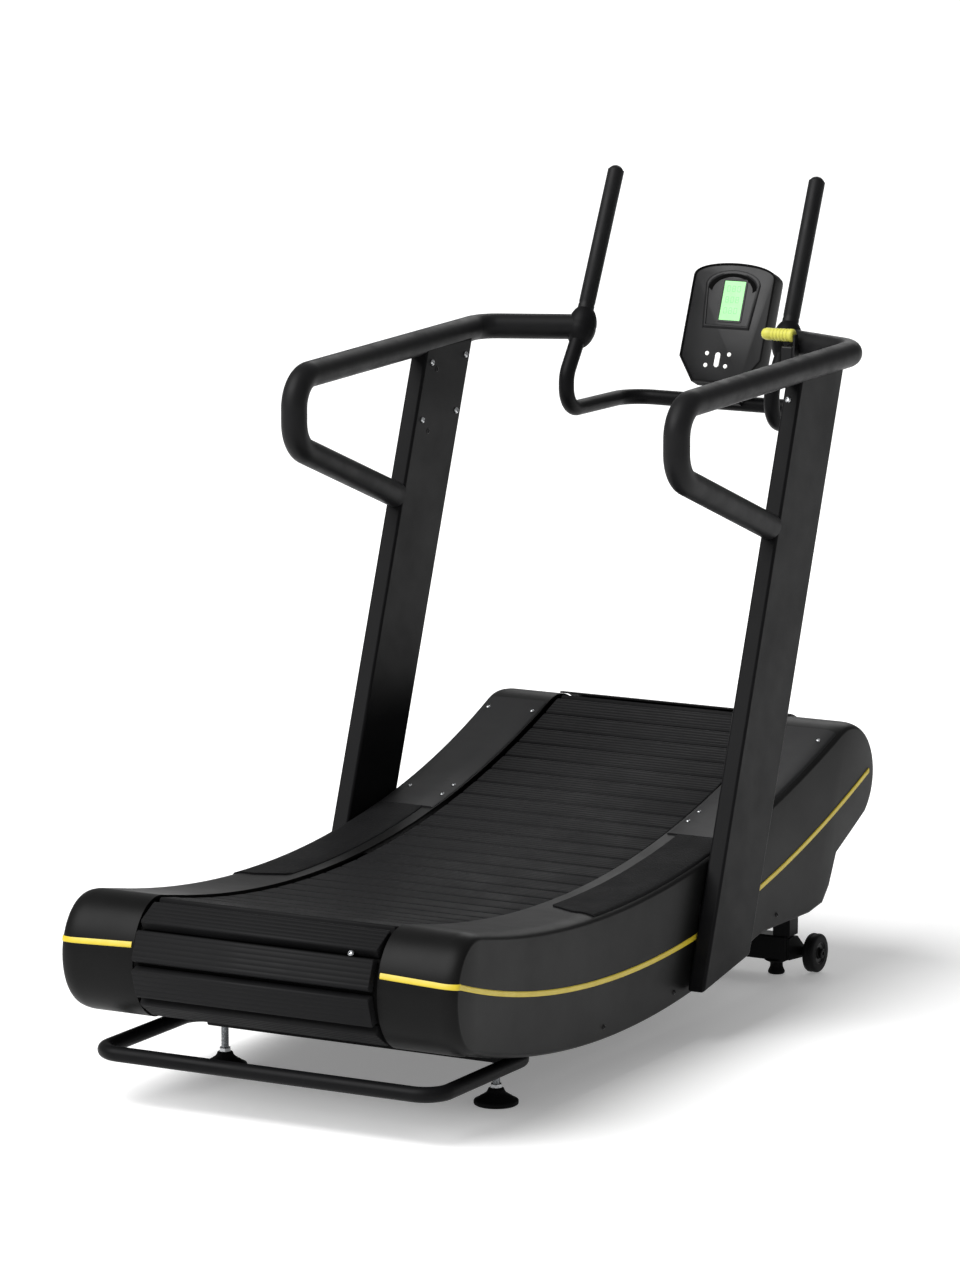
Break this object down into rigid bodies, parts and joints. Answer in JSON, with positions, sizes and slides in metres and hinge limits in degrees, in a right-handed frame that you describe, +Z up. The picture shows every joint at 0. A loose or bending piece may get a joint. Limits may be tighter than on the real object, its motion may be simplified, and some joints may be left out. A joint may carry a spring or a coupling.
{
  "type": "curved manual treadmill",
  "caption": "Self-powered treadmill with a curved slat belt, two leaning uprights, looped handrails, upright push bars, a small console, a resistance lever and a rear lift bar",
  "frame": {"origin": "on the floor, under the centre of the overall width and length", "axes": "+X to the runner's right, +Y the way the runner faces, +Z up"},
  "size_m": [0.8532, 1.9158, 1.5107],
  "materials": {
    "powder_coated_steel": "satin",
    "bare_steel": "satin",
    "moulded_plastic": "matte",
    "rubber": "matte",
    "yellow_plastic": "satin",
    "display_window": "gloss",
    "white_plastic": "satin"
  },
  "bodies": {
    "frame": {"running_belt": "rubber", "rear_cross_member": "powder_coated_steel", "front_cross_member": "powder_coated_steel", "rear_floor_beam": "powder_coated_steel", "front_floor_beam": "powder_coated_steel", "rear_lift_bar": "powder_coated_steel", "front_end_cover": "moulded_plastic", "console_crossbar": "powder_coated_steel", "console_bracket": "powder_coated_steel", "console_housing": "moulded_plastic", "console_face": "moulded_plastic", "console_display": "display_window", "lever_housing": "moulded_plastic", "frame_rail_left": "powder_coated_steel", "frame_rail_right": "powder_coated_steel", "slat_guide_left": "bare_steel", "slat_guide_right": "bare_steel", "front_bearing_left": "bare_steel", "front_bearing_right": "bare_steel", "rear_bearing_left": "bare_steel", "rear_bearing_right": "bare_steel", "wheel_bracket_left": "powder_coated_steel", "wheel_bracket_right": "powder_coated_steel", "side_cover_left": "moulded_plastic", "side_cover_right": "moulded_plastic", "foot_pad_left": "rubber", "foot_pad_right": "rubber", "top_plate_left": "moulded_plastic", "top_plate_right": "moulded_plastic", "stripe_left": "yellow_plastic", "stripe_right": "yellow_plastic", "upright_left": "powder_coated_steel", "upright_right": "powder_coated_steel", "upright_bracket_left": "powder_coated_steel", "upright_bracket_right": "powder_coated_steel", "handrail_left": "powder_coated_steel", "handrail_right": "powder_coated_steel", "push_bar_left": "powder_coated_steel", "push_bar_right": "powder_coated_steel", "push_bar_clamp_left": "powder_coated_steel", "push_bar_clamp_right": "powder_coated_steel"},
    "front_roller": {"front_drum": "bare_steel", "brake_disc": "bare_steel"},
    "rear_roller": {"rear_drum": "bare_steel"},
    "left_wheel": {"wheel_left": "rubber"},
    "right_wheel": {"wheel_right": "rubber"},
    "resistance_lever": {"lever_arm": "bare_steel", "lever_knob": "yellow_plastic"},
    "magnet_yoke": {"magnet_yoke": "powder_coated_steel"},
    "left_rear_foot": {"rear_foot_pad_left": "rubber", "rear_foot_stud_left": "bare_steel"},
    "right_rear_foot": {"rear_foot_pad_right": "rubber", "rear_foot_stud_right": "bare_steel"},
    "left_front_foot": {"front_foot_left": "rubber"},
    "right_front_foot": {"front_foot_right": "rubber"},
    "mode_button": {"mode_button": "white_plastic"},
    "reset_button": {"reset_button": "white_plastic"},
    "start_button": {"start_button": "white_plastic"},
    "set_button": {"set_button": "white_plastic"},
    "stop_button": {"stop_button": "white_plastic"}
  },
  "joints": [
    {"name": "front_roller_spin", "type": "hinge", "parent": "frame", "child": "front_roller", "pos_m": [0, 0.64224, 0.38217], "axis": [1, 0, 0], "continuous": true},
    {"name": "rear_roller_spin", "type": "hinge", "parent": "frame", "child": "rear_roller", "pos_m": [0, -0.85076, 0.26783], "axis": [1, 0, 0], "continuous": true},
    {"name": "left_wheel_spin", "type": "hinge", "parent": "frame", "child": "left_wheel", "pos_m": [-0.325, 0.62174, 0.039], "axis": [1, 0, 0], "continuous": true},
    {"name": "right_wheel_spin", "type": "hinge", "parent": "frame", "child": "right_wheel", "pos_m": [0.325, 0.62174, 0.039], "axis": [1, 0, 0], "continuous": true},
    {"name": "resistance_lever_tilt", "type": "hinge", "parent": "frame", "child": "resistance_lever", "pos_m": [0.254, 0.63024, 1.19], "axis": [1, 0, 0], "range_deg": [0, 55]},
    {"name": "magnet_yoke_swing", "type": "hinge", "parent": "frame", "child": "magnet_yoke", "pos_m": [0.315, 0.54224, 0.345], "axis": [1, 0, 0], "range_deg": [0, 17]},
    {"name": "left_rear_foot_turn", "type": "hinge", "parent": "frame", "child": "left_rear_foot", "pos_m": [-0.279, -0.57226, 0], "axis": [0, 0, 1], "continuous": true},
    {"name": "left_front_foot_turn", "type": "hinge", "parent": "frame", "child": "left_front_foot", "pos_m": [-0.262, 0.58224, 0], "axis": [0, 0, 1], "continuous": true},
    {"name": "right_rear_foot_turn", "type": "hinge", "parent": "frame", "child": "right_rear_foot", "pos_m": [0.279, -0.57226, 0], "axis": [0, 0, 1], "continuous": true},
    {"name": "right_front_foot_turn", "type": "hinge", "parent": "frame", "child": "right_front_foot", "pos_m": [0.262, 0.58224, 0], "axis": [0, 0, 1], "continuous": true},
    {"name": "mode_button_press", "type": "slide", "parent": "frame", "child": "mode_button", "axis": [0, 0.9272, -0.3746], "range_m": [0, 0.0015], "stiffness_N_per_m": 600},
    {"name": "reset_button_press", "type": "slide", "parent": "frame", "child": "reset_button", "axis": [0, 0.9272, -0.3746], "range_m": [0, 0.0015], "stiffness_N_per_m": 600},
    {"name": "start_button_press", "type": "slide", "parent": "frame", "child": "start_button", "axis": [0, 0.9272, -0.3746], "range_m": [0, 0.0015], "stiffness_N_per_m": 600},
    {"name": "set_button_press", "type": "slide", "parent": "frame", "child": "set_button", "axis": [0, 0.9272, -0.3746], "range_m": [0, 0.0015], "stiffness_N_per_m": 600},
    {"name": "stop_button_press", "type": "slide", "parent": "frame", "child": "stop_button", "axis": [0, 0.9272, -0.3746], "range_m": [0, 0.0015], "stiffness_N_per_m": 600}
  ],
  "couplings": [
    {"joint": "rear_roller_spin", "follows": "front_roller_spin", "ratio": 1},
    {"joint": "magnet_yoke_swing", "follows": "resistance_lever_tilt", "ratio": 0.3}
  ]
}
